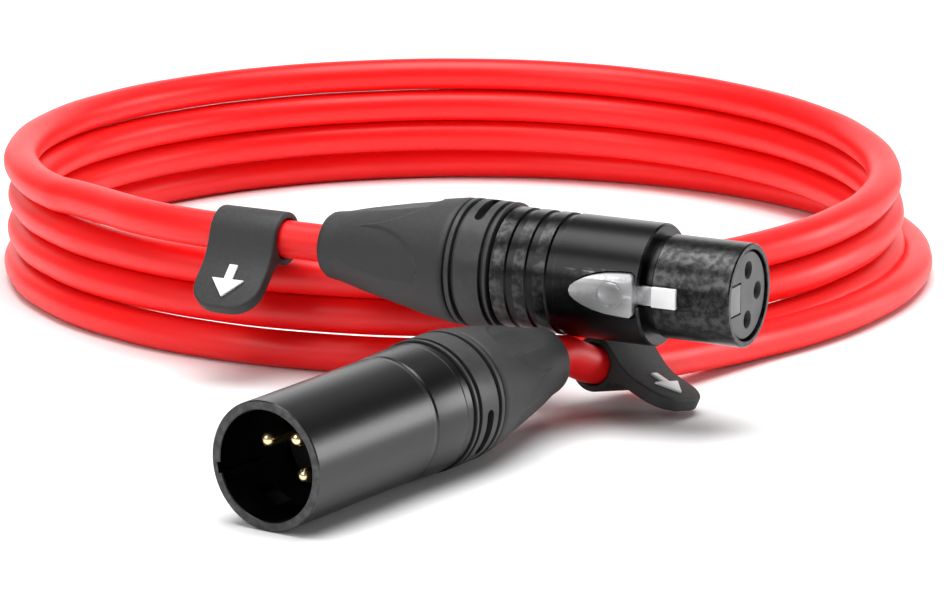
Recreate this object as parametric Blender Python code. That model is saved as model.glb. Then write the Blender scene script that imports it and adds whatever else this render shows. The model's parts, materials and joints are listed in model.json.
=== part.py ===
"""Coiled XLR cable: a four-turn coil of round cable between a female and a male connector."""

from math import cos, degrees, pi, radians, sin

import bmesh
import bpy
from mathutils import Matrix, Vector

MM = 0.001

# Cable and coil (millimetres, then degrees round the coil from +X)
CABLE_RADIUS = 3.0
COIL_CENTRE = (-1.8, 44.3)
COIL_INNER_RADIUS = 70.5
COIL_OUTER_RADIUS = 79.2
COIL_TOP = 24.6
COIL_FRONT_TOP = 18.6
FLOOR_TURN_RADIUS = 78.8
FLOOR_TURN_OFFSET = (1.8, 1.0)
FLOOR_TURN_LEAVES = -29.0
TOP_TURN_STARTS = -149.0
FACE_GAP = 0.3

# Connectors: rear end of the boot on the axis, heading from +X, roll of the key side
FEMALE_REAR = (-21.7, -36.8, 22.3)
FEMALE_HEADING = -27.0
FEMALE_PITCH = -0.5
FEMALE_LENGTH = 72.0
MALE_REAR = (11.7, -64.1, 10.35)
MALE_HEADING = -124.6
MALE_PITCH = -0.7
MALE_LENGTH = 70.0
MALE_KEY_ROLL = 236.0

# Turned sections that both connectors share, measured along the axis from the boot's rear
BOOT_LENGTH = 24.8
BOOT_RADII = ((0.0, 4.5), (0.8, 5.25), (7.0, 6.85), (13.5, 8.25), (20.0, 9.3), (BOOT_LENGTH, 10.0))
FLAT_START = 0.8
FLAT_END = 19.9
FLAT_RADIUS = 5.15
FLAT_RISE = 0.18
FLAT_STEP = 0.25
FLAT_HALF_ANGLE = 48.0
GLAND_START = 25.1
GLAND_END = 32.4
GLAND_RADIUS = 10.0
GLAND_SLOT_ANGLES = (-77.0, 103.0)
GLAND_SLOT_HALF_LENGTH = 3.8
SPIGOT_END = 39.5
SPIGOT_RADIUS = 8.05
SHELL_START = 32.7
SHELL_RADIUS = 9.45
THREAD_BORE = 8.4
JACKET_END = 34.0
CONDUCTOR_RADIUS = 0.55

# Contacts
CONTACT_CIRCLE = 3.85
CONTACT_ANGLES = (94.0, -94.0, 180.0)
NOSE_START = 59.3
NOSE_RADIUS = 7.95
SHOULDER = 57.8
CAVITY_RADIUS = 8.05
CAVITY_DEPTH = 15.5
PIN_RADIUS = 1.2
PIN_RECESS = 3.8
SOCKET_FRONT = 67.6
KEYWAY_ANGLE = -46.0

# Latch lever on the female shell
LEVER_TIP = 46.6
LEVER_EDGE = 57.0
HOOK_END = 63.4
LEVER_SIDE = ((0.35, LEVER_TIP), (1.3, 47.4), (2.3, 48.8), (3.0, 51.2), (3.3, 54.0), (3.3, LEVER_EDGE))
LEVER_GAP = 0.35
HOOK_HALF_WIDTH = 1.5
HOOK_GAP = 0.2
HINGE_ALONG = 48.4
HINGE_OUT = 6.4
LUG_HALF_WIDTH = 1.3

# Tags
TAG_WIDTH = 12.0
TAG_BORE = 3.2
TAG_LOOP_RADIUS = 4.3
TAG_REACH = 15.0
TAG_THICKNESS = 2.2
TAG_BACK = 0.3
MARK_HEIGHT = 0.4
MARK_GAP = 0.05
FEMALE_TAG_BACK = 13.7
FEMALE_TAG_DROOP = 45.0
MALE_TAG_START = (19.2, -55.2, 7.4)
MALE_TAG_END = (26.9, -46.0, 5.4)
MALE_TAG_DROOP = 20.0

# Routes of the loose stretches, each from its connector to the coil
FEMALE_TAIL = ((-52.0, -17.2, 22.4), (-59.5, -6.6, 22.1), (-65.3, 2.2, 22.0))
MALE_TAIL = ((36.0, -35.4, 4.2), (46.0, -23.6, 3.2), (57.2, -11.4, 3.0), (66.7, 2.6, 3.0))


# ---------------------------------------------------------------- materials

def make_material(name, color, roughness, metallic=0.0):
    """Principled material with one colour."""
    material = bpy.data.materials.new(name)
    material.use_nodes = True
    shader = material.node_tree.nodes["Principled BSDF"]
    shader.inputs["Base Color"].default_value = (*color, 1.0)
    shader.inputs["Roughness"].default_value = roughness
    shader.inputs["Metallic"].default_value = metallic
    material.diffuse_color = (*color, 1.0)
    return material


def make_materials():
    return {
        "jacket": make_material("jacket", (0.80, 0.02, 0.02), 0.35),
        "boot": make_material("boot", (0.05, 0.05, 0.055), 0.65),
        "gland": make_material("gland", (0.03, 0.03, 0.032), 0.5),
        "shell": make_material("shell", (0.02, 0.02, 0.022), 0.3, 0.7),
        "insert": make_material("insert", (0.06, 0.06, 0.065), 0.5),
        "contact": make_material("contact", (0.85, 0.62, 0.25), 0.25, 1.0),
        "latch": make_material("latch", (0.6, 0.6, 0.62), 0.35, 1.0),
        "tag": make_material("tag", (0.04, 0.04, 0.042), 0.7),
        "mark": make_material("mark", (0.9, 0.9, 0.9), 0.5),
        "conductor": make_material("conductor", (0.35, 0.35, 0.38), 0.5),
        "clamp": make_material("clamp", (0.75, 0.75, 0.72), 0.5),
    }


# ---------------------------------------------------------------- mesh helpers

def add_object(name, mesh, material, parent=None):
    """New object from a mesh, parented without an offset."""
    item = bpy.data.objects.new(name, mesh)
    bpy.context.scene.collection.objects.link(item)
    if material:
        mesh.materials.append(material)
    item.parent = parent
    return item


def finish_mesh(name, bm, smooth=True):
    bmesh.ops.recalc_face_normals(bm, faces=bm.faces)
    for face in bm.faces:
        face.smooth = smooth
    mesh = bpy.data.meshes.new(name)
    bm.to_mesh(mesh)
    bm.free()
    return mesh


def bridge_rings(bm, first, second):
    """Quads between two closed rings of vertices, or a fan where one is a point."""
    count = max(len(first), len(second))
    for i in range(count):
        j = (i + 1) % count
        corners = [first[i % len(first)], first[j % len(first)],
                   second[j % len(second)], second[i % len(second)]]
        unique = list(dict.fromkeys(corners))
        if len(unique) > 2:
            bm.faces.new(unique)


def turned(name, profile, material, parent, segments=40, centre=(0.0, 0.0)):
    """Solid of revolution about local Z from (radius, along) points in mm.

    A profile that starts and ends on the axis is open; any other profile is closed.
    """
    bm = bmesh.new()
    rings = []
    for radius, along in profile:
        steps = 1 if radius == 0 else segments
        ring = []
        for i in range(steps):
            turn = 2 * pi * i / segments
            ring.append(bm.verts.new((
                (centre[0] + radius * cos(turn)) * MM,
                (centre[1] + radius * sin(turn)) * MM,
                along * MM,
            )))
        rings.append(ring)
    for first, second in zip(rings, rings[1:]):
        bridge_rings(bm, first, second)
    if profile[0][0] != 0:
        bridge_rings(bm, rings[-1], rings[0])
    return add_object(name, finish_mesh(name, bm), material, parent)


def prism_mesh(name, outline, start, end):
    """Outline of (u, v) mm points extruded from start to end along local Z."""
    bm = bmesh.new()
    low = [bm.verts.new((u * MM, v * MM, start * MM)) for u, v in outline]
    high = [bm.verts.new((u * MM, v * MM, end * MM)) for u, v in outline]
    bm.faces.new(list(reversed(low)))
    bm.faces.new(high)
    bridge_rings(bm, low, high)
    return finish_mesh(name, bm, smooth=False)


def box(name, low, high, material, parent):
    """Box between two corners in mm."""
    outline = ((low[0], low[1]), (high[0], low[1]), (high[0], high[1]), (low[0], high[1]))
    return add_object(name, prism_mesh(name, outline, low[2], high[2]), material, parent)


def boolean(target, cutter, operation="DIFFERENCE"):
    """Boolean modifier; the cutter stays in the file as a hidden helper."""
    cutter.hide_render = True
    cutter.display_type = "WIRE"
    modifier = target.modifiers.new(f"{operation.lower()}_{cutter.name}", "BOOLEAN")
    modifier.operation = operation
    modifier.solver = "EXACT"
    modifier.object = cutter


def cutter_box(target, name, low, high):
    boolean(target, box(name, low, high, None, target.parent))


def cutter_rod(target, name, radius, start, end, centre=(0.0, 0.0), segments=16):
    boolean(target, turned(name, ((0, start), (radius, start), (radius, end), (0, end)), None,
                           target.parent, segments, centre))


def smooth_step(value):
    value = min(max(value, 0.0), 1.0)
    return value * value * (3.0 - 2.0 * value)


def catmull_points(points, spacing):
    """Points about spacing mm apart on a smooth curve through the route's own points."""
    route = [Vector(point) for point in points]
    route = [2 * route[0] - route[1]] + route + [2 * route[-1] - route[-2]]
    result = [route[1]]
    for a, b, c, d in zip(route, route[1:], route[2:], route[3:]):
        steps = max(1, round((c - b).length / spacing))
        for i in range(1, steps + 1):
            t = i / steps
            result.append(0.5 * (2 * b + (c - a) * t + (2 * a - 5 * b + 4 * c - d) * t * t
                                 + (3 * b - a - 3 * c + d) * t ** 3))
    return result


def tube(name, points, radius, material, parent=None, resolution=3):
    """Round tube with filled caps along mm points."""
    curve = bpy.data.curves.new(name, "CURVE")
    curve.dimensions = "3D"
    curve.bevel_depth = radius * MM
    curve.bevel_resolution = resolution
    curve.use_fill_caps = True
    spline = curve.splines.new("POLY")
    spline.points.add(len(points) - 1)
    for target, point in zip(spline.points, points):
        target.co = (*(Vector(point) * MM), 1.0)
    item = bpy.data.objects.new(name, curve)
    bpy.context.scene.collection.objects.link(item)
    curve.materials.append(material)
    item.parent = parent
    return item


def empty(name, matrix, parent=None):
    item = bpy.data.objects.new(name, None)
    bpy.context.scene.collection.objects.link(item)
    item.parent = parent
    item.matrix_local = matrix
    return item


def axis_frame(origin, forward, key_side):
    """Matrix with local Z forward and local X as near key_side as it can be."""
    z_axis = Vector(forward).normalized()
    x_axis = Vector(key_side)
    x_axis = (x_axis - x_axis.dot(z_axis) * z_axis).normalized()
    y_axis = z_axis.cross(x_axis)
    matrix = Matrix((x_axis, y_axis, z_axis)).transposed().to_4x4()
    matrix.translation = Vector(origin) * MM
    return matrix


# ---------------------------------------------------------------- connector directions

def direction(heading, pitch):
    heading, pitch = radians(heading), radians(pitch)
    return Vector((cos(heading) * cos(pitch), sin(heading) * cos(pitch), sin(pitch)))


def female_forward():
    return direction(FEMALE_HEADING, FEMALE_PITCH)


def male_forward():
    return direction(MALE_HEADING, MALE_PITCH)


def male_key_side():
    """Key side seen from the front: right is +X turned, up is +Z."""
    roll = radians(MALE_KEY_ROLL)
    forward = male_forward()
    sideways = Vector((-forward.y, forward.x, 0.0))
    return cos(roll) * sideways + sin(roll) * Vector((0.0, 0.0, 1.0))


# ---------------------------------------------------------------- boot, gland and clamp

def boot_radius(along):
    for (z0, r0), (z1, r1) in zip(BOOT_RADII, BOOT_RADII[1:]):
        if along <= z1:
            return r0 + (r1 - r0) * (along - z0) / (z1 - z0)
    return BOOT_RADII[-1][1]


def pressed_radius(along, turn):
    """Cone of the boot with a flat for a finger on each quarter."""
    cone = boot_radius(along)
    if along <= FLAT_START or along >= FLAT_END:
        return cone
    off_centre = abs((degrees(turn) + 45.0) % 90.0 - 45.0)
    half = FLAT_HALF_ANGLE * (1.0 - (along / FLAT_END) ** 2.5) ** 0.7
    flat = min((FLAT_RADIUS + FLAT_RISE * along) / cos(radians(off_centre)), cone - FLAT_STEP)
    pressed = smooth_step((half - off_centre) / 4.0 + 0.5) * smooth_step((along - FLAT_START) / 3.0)
    return cone + (min(cone, flat) - cone) * pressed


def make_boot(prefix, materials, parent, segments=64):
    """Rubber boot with four finger flats, hollow for the clamp."""
    bm = bmesh.new()
    stations = [0.0, FLAT_START] + [2.2 + 1.6 * i for i in range(11)] + [19.1, FLAT_END, BOOT_LENGTH]
    inner = ((7.4, BOOT_LENGTH), (5.7, 9.0), (3.35, 7.0), (3.35, 3.0), (3.9, 0.0))
    outline = [[(pressed_radius(along, 2 * pi * i / segments), along) for i in range(segments)]
               for along in stations]
    outline += [[point] * segments for point in inner]
    rings = [[bm.verts.new((radius * cos(2 * pi * i / segments) * MM,
                            radius * sin(2 * pi * i / segments) * MM, along * MM))
              for i, (radius, along) in enumerate(ring)] for ring in outline]
    for first, second in zip(rings, rings[1:] + rings[:1]):
        bridge_rings(bm, first, second)
    bmesh.ops.triangulate(bm, faces=bm.faces)
    return add_object(f"{prefix}_boot", finish_mesh(f"{prefix}_boot", bm), materials["boot"], parent)


def make_gland(prefix, materials, parent):
    """Threaded gland: grooved collar outside, spigot inside the shell."""
    groove = GLAND_RADIUS - 0.5
    profile = [
        (GLAND_RADIUS, GLAND_START), (GLAND_RADIUS, 26.0), (groove, 26.1), (groove, 26.8),
        (GLAND_RADIUS, 26.9), (GLAND_RADIUS, 31.0), (groove, 31.1), (groove, 31.7),
        (GLAND_RADIUS, 31.8), (GLAND_RADIUS, GLAND_END), (SPIGOT_RADIUS, GLAND_END),
        (SPIGOT_RADIUS, SPIGOT_END), (6.8, SPIGOT_END), (6.8, 30.0), (7.5, GLAND_START),
    ]
    gland = turned(f"{prefix}_gland", profile, materials["gland"], parent, 48)
    for number, angle in enumerate(GLAND_SLOT_ANGLES):
        slot = box(f"{prefix}_gland_slot_{number}", (GLAND_RADIUS - 1.5, -GLAND_SLOT_HALF_LENGTH, 28.1),
                   (GLAND_RADIUS + 2.0, GLAND_SLOT_HALF_LENGTH, 29.8), None, parent)
        slot.rotation_euler = (0.0, 0.0, radians(angle))
        boolean(gland, slot)
    return gland


def make_clamp(prefix, materials, parent):
    """Collet that grips the jacket, slit into four fingers at the rear."""
    profile = ((3.3, 9.0), (5.0, 9.0), (5.2, 13.0), (6.2, 23.0), (6.2, 37.0), (3.3, 37.0))
    clamp = turned(f"{prefix}_clamp", profile, materials["clamp"], parent, 32)
    for i in range(2):
        slit = box(f"{prefix}_clamp_slit_{i}", (-7.0, -0.4, 8.0), (7.0, 0.4, 22.0), None, parent)
        slit.rotation_euler = (0.0, 0.0, radians(45.0 + 90.0 * i))
        boolean(clamp, slit)
    return clamp


def make_conductors(prefix, start, materials, parent):
    """Three insulated cores from the jacket's end to the solder cups."""
    for number, angle in enumerate(CONTACT_ANGLES, 1):
        turn = radians(angle)
        bundle = Vector((1.35 * cos(turn), 1.35 * sin(turn), 0.0))
        contact = Vector((CONTACT_CIRCLE * cos(turn), CONTACT_CIRCLE * sin(turn), 0.0))
        ends = [bundle + Vector((0, 0, JACKET_END + FACE_GAP)),
                bundle + Vector((0, 0, 37.6)),
                contact + Vector((0, 0, start - 1.6)),
                contact + Vector((0, 0, start - FACE_GAP))]
        tube(f"{prefix}_conductor_{number}", ends, CONDUCTOR_RADIUS, materials["conductor"],
             parent, resolution=2)


# ---------------------------------------------------------------- female connector

FACING_KEY = Matrix(((0, 0, 1, 0), (1, 0, 0, 0), (0, 1, 0, 0), (0, 0, 0, 1)))


def mirrored(side):
    """Closed outline from its right-hand side, tip first."""
    return list(side) + [(-u, v) for u, v in reversed(side)]


def make_female_shell(materials, parent):
    outer = [(SHELL_RADIUS - 0.25, SHELL_START), (SHELL_RADIUS, SHELL_START + 0.3)]
    for start in (35.2, 38.6, 42.0):
        outer += [(SHELL_RADIUS, start), (SHELL_RADIUS - 0.33, start + 0.25),
                  (SHELL_RADIUS - 0.33, start + 1.42), (SHELL_RADIUS, start + 1.5)]
    outer += [(SHELL_RADIUS, SHOULDER - 0.7), (SHELL_RADIUS - 0.7, SHOULDER),
              (NOSE_RADIUS - 0.35, SHOULDER), (NOSE_RADIUS - 0.35, NOSE_START),
              (NOSE_RADIUS, NOSE_START), (NOSE_RADIUS, FEMALE_LENGTH - 0.3),
              (NOSE_RADIUS - 0.3, FEMALE_LENGTH)]
    inner = [(7.0, FEMALE_LENGTH), (7.0, 40.5), (THREAD_BORE, 40.5), (THREAD_BORE, SHELL_START)]
    shell = turned("female_shell", outer + inner, materials["shell"], parent, 48)
    side = [(u + LEVER_GAP, v) for u, v in LEVER_SIDE]
    side = [(side[0][0], LEVER_TIP - LEVER_GAP)] + side[1:-1] + [(side[-1][0], LEVER_EDGE + LEVER_GAP)]
    slot = add_object("lever_slot", prism_mesh("lever_slot", mirrored(side), 5.0, 12.0), None, parent)
    slot.matrix_local = FACING_KEY
    boolean(shell, slot)
    cutter_box(shell, "hinge_pocket", (5.0, -3.7, HINGE_ALONG - 1.8), (7.7, 3.7, HINGE_ALONG + 2.0))
    cutter_box(shell, "hook_slot", (5.0, -HOOK_HALF_WIDTH - HOOK_GAP, LEVER_EDGE),
               (12.0, HOOK_HALF_WIDTH + HOOK_GAP, HOOK_END + HOOK_GAP))


def make_female_insert(materials, parent):
    insert = turned("female_insert", ((0, 45.0), (6.7, 45.0), (6.7, 71.6), (0, 71.6)),
                    materials["insert"], parent, 40)
    for number, angle in enumerate(CONTACT_ANGLES, 1):
        turn = radians(angle)
        cutter_rod(insert, f"female_insert_bore_{number}", 1.5, 44.0, 73.0,
                   (CONTACT_CIRCLE * cos(turn), CONTACT_CIRCLE * sin(turn)))
    cutter_box(insert, "lever_pocket", (5.1, -3.8, 44.0), (9.0, 3.8, 64.2))
    cutter_box(insert, "key_pocket", (2.3, -2.5, 64.8), (9.0, 2.5, 73.0))
    return insert


def make_female_contacts(materials, parent):
    """Sockets: a sleeve at the front, a solder cup at the rear."""
    profile = ((0, 51.0), (0.75, 51.0), (0.75, 47.5), (1.25, 47.5), (1.25, SOCKET_FRONT),
               (0.95, SOCKET_FRONT), (0.95, 55.0), (0, 55.0))
    for number, angle in enumerate(CONTACT_ANGLES, 1):
        turn = radians(angle)
        turned(f"female_contact_{number}", profile, materials["contact"], parent, 14,
               (CONTACT_CIRCLE * cos(turn), CONTACT_CIRCLE * sin(turn)))


def make_latch(materials, female):
    """Lever, its pin and its spring; the lever swings about the pin near its tip."""
    hinge = empty("latch_hinge", Matrix.Translation((HINGE_OUT * MM, 0.0, HINGE_ALONG * MM)), female)
    side = [(7.9, LEVER_TIP), (9.3, 47.6), (9.75, 49.5), (9.85, LEVER_EDGE), (8.3, LEVER_EDGE),
            (8.3, HOOK_END), (7.1, HOOK_END), (7.1, 60.6), (7.45, 58.0), (8.0, 56.0),
            (8.0, 51.0), (7.3, 49.9), (5.5, 49.5), (5.5, 47.4)]
    half = [(LEVER_SIDE[0][0], LEVER_TIP - 1), *LEVER_SIDE,
            (HOOK_HALF_WIDTH, LEVER_EDGE), (HOOK_HALF_WIDTH, HOOK_END + 1)]
    side = [(u - HINGE_OUT, v - HINGE_ALONG) for u, v in side]
    outline = [(u, v - HINGE_ALONG) for u, v in mirrored(half)]
    lever = add_object("latch_lever", prism_mesh("latch_lever", side, -5, 5), materials["latch"], hinge)
    lever.rotation_euler = (radians(90), 0, 0)
    plan = add_object("latch_plan", prism_mesh("latch_plan", outline, -6, 6), None, hinge)
    plan.matrix_local = FACING_KEY
    boolean(lever, plan, "INTERSECT")
    bore = turned("latch_bore", ((0, -6), (0.6, -6), (0.6, 6), (0, 6)), None, hinge, 16)
    bore.rotation_euler = (radians(90), 0, 0)
    boolean(lever, bore)
    for side_name, low, high in (("left", -5.0, -LUG_HALF_WIDTH), ("right", LUG_HALF_WIDTH, 5.0)):
        boolean(lever, box(f"latch_lug_{side_name}", (-3.0, low, -2.5), (1.5, high, 2.5), None, hinge))
    pin = turned("latch_pin", ((0, -3.45), (0.42, -3.45), (0.42, 3.45), (0, 3.45)),
                 materials["latch"], hinge, 14)
    pin.rotation_euler = (radians(90), 0, 0)
    turns = 3
    coil = [(0.95 * cos(a), 1.75 + 0.42 * a / (2 * pi), 0.95 * sin(a))
            for a in (2 * pi * i / 12 for i in range(12 * turns + 1))]
    tube("latch_spring", coil, 0.16, materials["latch"], hinge, resolution=2)


def make_female(materials):
    female = empty("female_axis", axis_frame(FEMALE_REAR, female_forward(),
                                             female_forward().cross((0, 0, 1))))
    make_female_shell(materials, female)
    make_female_insert(materials, female)
    make_female_contacts(materials, female)
    box("female_key", (2.6, -2.2, 65.1), (6.5, 2.2, 71.7), materials["latch"], female)
    make_latch(materials, female)
    make_conductors("female", 47.5, materials, female)
    make_boot("female", materials, female)
    make_gland("female", materials, female)
    make_clamp("female", materials, female)


# ---------------------------------------------------------------- male connector

def make_male_shell(materials, parent):
    floor = MALE_LENGTH - CAVITY_DEPTH
    outer = [(SHELL_RADIUS + 0.1, SHELL_START), (SHELL_RADIUS + 0.2, SHELL_START + 0.15),
             (SHELL_RADIUS + 0.2, 34.2), (SHELL_RADIUS + 0.35, 34.5), (SHELL_RADIUS + 0.1, 41.5),
             (SHELL_RADIUS - 0.1, 41.9), (SHELL_RADIUS, 42.6), (SHELL_RADIUS, MALE_LENGTH - 0.2),
             (SHELL_RADIUS - 0.2, MALE_LENGTH)]
    inner = [(CAVITY_RADIUS, MALE_LENGTH), (CAVITY_RADIUS, floor - 2.4), (7.3, floor - 2.4),
             (7.3, 40.5), (THREAD_BORE, 40.5), (THREAD_BORE, SHELL_START)]
    shell = turned("male_shell", outer + inner, materials["shell"], parent, 48)
    keyway = box("keyway", (7.0, -0.8, floor), (8.55, 0.8, MALE_LENGTH + 1), None, parent)
    keyway.rotation_euler = (0.0, 0.0, radians(KEYWAY_ANGLE))
    boolean(shell, keyway)
    cutter_box(shell, "hook_window", (7.0, -2.0, MALE_LENGTH - 9.5), (8.9, 2.0, MALE_LENGTH - 5.5))


def make_male_insert(materials, parent):
    floor = MALE_LENGTH - CAVITY_DEPTH
    profile = ((0, 43.0), (6.7, 43.0), (6.7, floor - 2.0), (7.7, floor - 2.0), (7.7, floor), (0, floor))
    insert = turned("male_insert", profile, materials["insert"], parent, 40)
    for number, angle in enumerate(CONTACT_ANGLES, 1):
        turn = radians(-angle)
        cutter_rod(insert, f"male_insert_bore_{number}", 1.4, 42.0, floor + 1,
                   (CONTACT_CIRCLE * cos(turn), CONTACT_CIRCLE * sin(turn)))
    return insert


def make_male_pins(materials, parent):
    """Solid pins with rounded tips and solder cups at the rear."""
    tip = MALE_LENGTH - PIN_RECESS
    profile = ((0, 48.5), (0.75, 48.5), (0.75, 45.5), (PIN_RADIUS, 45.5), (PIN_RADIUS, tip - 1.0),
               (0.92, tip - 0.35), (0.5, tip - 0.05), (0, tip))
    for number, angle in enumerate(CONTACT_ANGLES, 1):
        turn = radians(-angle)
        turned(f"male_pin_{number}", profile, materials["contact"], parent, 16,
               (CONTACT_CIRCLE * cos(turn), CONTACT_CIRCLE * sin(turn)))


def make_ground_clip(materials, parent):
    """Thin springy arc that bonds the insert's ground contact to the shell."""
    arc = [radians(-30 + 6 * i) for i in range(11)]
    outline = [(7.15 * cos(a), 7.15 * sin(a)) for a in arc]
    outline += [(6.9 * cos(a), 6.9 * sin(a)) for a in reversed(arc)]
    mesh = prism_mesh("male_ground_clip", outline, 45.0, 51.0)
    add_object("male_ground_clip", mesh, materials["latch"], parent)


def make_male(materials):
    male = empty("male_axis", axis_frame(MALE_REAR, male_forward(), male_key_side()))
    make_male_shell(materials, male)
    make_male_insert(materials, male)
    make_male_pins(materials, male)
    make_ground_clip(materials, male)
    make_conductors("male", 45.5, materials, male)
    make_boot("male", materials, male)
    make_gland("male", materials, male)
    make_clamp("male", materials, male)


# ---------------------------------------------------------------- tags

def tag_outline():
    """Side view: a loop round the cable that runs out into a flat tab along +X."""
    top = [(TAG_LOOP_RADIUS * cos(a), TAG_LOOP_RADIUS * sin(a))
           for a in (radians(35 + 14.5 * i) for i in range(19))]
    back, end = TAG_BACK, TAG_REACH
    face = TAG_BACK - TAG_THICKNESS
    tab = [(3.4, face - 1.1), (5.0, face - 0.35), (7.0, face), (end - 0.4, face), (end, face + 0.4),
           (end, back - 0.4), (end - 0.4, back), (6.4, back), (5.0, back + 0.45)]
    return top + tab


def make_tag(prefix, matrix, materials):
    """Rubber tag on the cable with a raised arrow on its tab."""
    frame = empty(f"{prefix}_tag_axis", matrix)
    half = TAG_WIDTH / 2
    tag = add_object(f"{prefix}_tag", prism_mesh(f"{prefix}_tag", tag_outline(), -half, half),
                     materials["tag"], frame)
    cutter_rod(tag, f"{prefix}_tag_bore", TAG_BORE, -half - 1, half + 1, segments=32)
    for sign in (-1, 1):
        corner = [(TAG_REACH + 1, sign * (half + 1)), (TAG_REACH + 1, sign * (half - 4.5))]
        corner += [(TAG_REACH - 4.5 + 4.5 * cos(a), sign * (half - 4.5 + 4.5 * sin(a)))
                   for a in (radians(15 * i) for i in range(7))]
        corner += [(TAG_REACH - 4.5, sign * (half + 1))]
        trim = add_object(f"{prefix}_tag_corner_{(sign + 1) // 2}",
                          prism_mesh("corner", corner, -4, 4), None, frame)
        trim.matrix_local = Matrix(((1, 0, 0, 0), (0, 0, 1, 0), (0, 1, 0, 0), (0, 0, 0, 1)))
        boolean(tag, trim)
    arrow = [(7.2, -0.75), (9.9, -0.75), (9.9, -2.9), (13.2, 0.0), (9.9, 2.9), (9.9, 0.75), (7.2, 0.75)]
    face = TAG_BACK - TAG_THICKNESS - MARK_GAP
    mark = add_object(f"{prefix}_tag_mark", prism_mesh(f"{prefix}_tag_mark", arrow, face - MARK_HEIGHT, face),
                      materials["mark"], frame)
    mark.matrix_local = Matrix(((1, 0, 0, 0), (0, 0, 1, 0), (0, 1, 0, 0), (0, 0, 0, 1)))


def drooping(along, droop):
    """Direction square to the cable, right of it and so many degrees below level."""
    level = Vector(along).cross((0, 0, 1)).normalized()
    return level * cos(radians(droop)) - Vector((0, 0, 1)) * sin(radians(droop))


def make_tags(materials):
    """Both tags, each with local Z along its cable and local X out along the tab."""
    forward = female_forward()
    centre = Vector(FEMALE_REAR) - FEMALE_TAG_BACK * forward
    make_tag("female", axis_frame(centre, forward, drooping(forward, FEMALE_TAG_DROOP)), materials)
    start, end = Vector(MALE_TAG_START), Vector(MALE_TAG_END)
    along = end - start
    make_tag("male", axis_frame((start + end) / 2, along, drooping(along, MALE_TAG_DROOP)), materials)


# ---------------------------------------------------------------- cable and coil

def coil_section(angle):
    """Cross-section (radius, height) of the coil's outer shape at an angle in degrees."""
    turned_by = (-90.0 - angle) % 360.0 / 360.0
    starts = (-90.0 - TOP_TURN_STARTS) / 360.0
    drop = (COIL_TOP - COIL_FRONT_TOP) * smooth_step((turned_by - 0.5) / 0.5)
    top = COIL_FRONT_TOP if turned_by < starts else COIL_TOP - drop
    floor_turn = (FLOOR_TURN_RADIUS + CABLE_RADIUS + FLOOR_TURN_OFFSET[0] * cos(radians(angle))
                  + FLOOR_TURN_OFFSET[1] * sin(radians(angle)))
    tail = (angle + 180.0) % 360.0 - 180.0
    if -90.0 < tail < FLOOR_TURN_LEAVES:
        floor_turn = 76.2 + 4.4 * smooth_step((-68.0 - tail) / 22.0)
    inner, outer = COIL_INNER_RADIUS, COIL_OUTER_RADIUS
    return ((inner, 2.2), (inner + 2.2, 0.0), (floor_turn - 2.0, 0.0), (floor_turn, 2.0),
            (floor_turn, 4.4), (outer, 7.2), (outer, top - 2.2), (outer - 2.2, top),
            (inner + 2.2, top), (inner, top - 2.2))


def make_coil(materials):
    """Outer shape of the wound turns; its top ramps down as the turns do."""
    step = 5.0
    edge = 0.3
    angles = [step * i for i in range(72)]
    angles += [TOP_TURN_STARTS % 360 - edge, TOP_TURN_STARTS % 360 + edge,
               FLOOR_TURN_LEAVES % 360 - edge, FLOOR_TURN_LEAVES % 360 + edge]
    angles.sort()
    bm = bmesh.new()
    rings = []
    for angle in angles:
        turn = radians(angle)
        rings.append([bm.verts.new(((COIL_CENTRE[0] + radius * cos(turn)) * MM,
                                    (COIL_CENTRE[1] + radius * sin(turn)) * MM, height * MM))
                      for radius, height in coil_section(angle)])
    for first, second in zip(rings, rings[1:] + rings[:1]):
        bridge_rings(bm, first, second)
    add_object("cable_coil", finish_mesh("cable_coil", bm), materials["jacket"])


def make_tails(materials):
    """Loose stretches of cable, each from inside its connector to the coil."""
    forward = female_forward()
    rear = Vector(FEMALE_REAR)
    route = [rear + forward * along for along in (JACKET_END, 17.0, 0.0, -7.0, -14.0, -21.0)]
    tube("cable_to_female", catmull_points(route + list(FEMALE_TAIL), 7.0), CABLE_RADIUS,
         materials["jacket"])
    forward = male_forward()
    rear = Vector(MALE_REAR)
    route = [rear + forward * along for along in (JACKET_END, 17.0, 0.0, -4.0)]
    route += [Vector(MALE_TAG_START), Vector(MALE_TAG_END)]
    tube("cable_to_male", catmull_points(route + list(MALE_TAIL), 7.0), CABLE_RADIUS,
         materials["jacket"])


def main():
    for item in list(bpy.data.objects):
        bpy.data.objects.remove(item)
    materials = make_materials()
    make_coil(materials)
    make_tails(materials)
    make_female(materials)
    make_male(materials)
    make_tags(materials)
    bpy.context.view_layer.update()


main()
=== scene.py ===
"""Looks of a coiled XLR cable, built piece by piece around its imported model."""

import json
from math import atan2, cos, degrees, hypot, pi, radians, sin

import bpy
from mathutils import Matrix, Vector


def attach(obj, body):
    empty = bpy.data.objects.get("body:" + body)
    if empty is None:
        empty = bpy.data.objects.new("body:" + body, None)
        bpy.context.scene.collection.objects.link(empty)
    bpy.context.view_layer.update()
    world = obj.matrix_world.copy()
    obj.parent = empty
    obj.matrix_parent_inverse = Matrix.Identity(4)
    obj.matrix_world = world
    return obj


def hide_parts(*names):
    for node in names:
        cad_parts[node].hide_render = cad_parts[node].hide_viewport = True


bl_info = {
    "name": "XLR Cable Coil",
    "version": (1, 0, 0),
    "blender": (4, 5, 0),
    "location": "View3D > Sidebar > XLR Coil",
    "description": "Builds a coiled XLR cable with a latching female and a male connector",
    "category": "Object",
}

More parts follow.
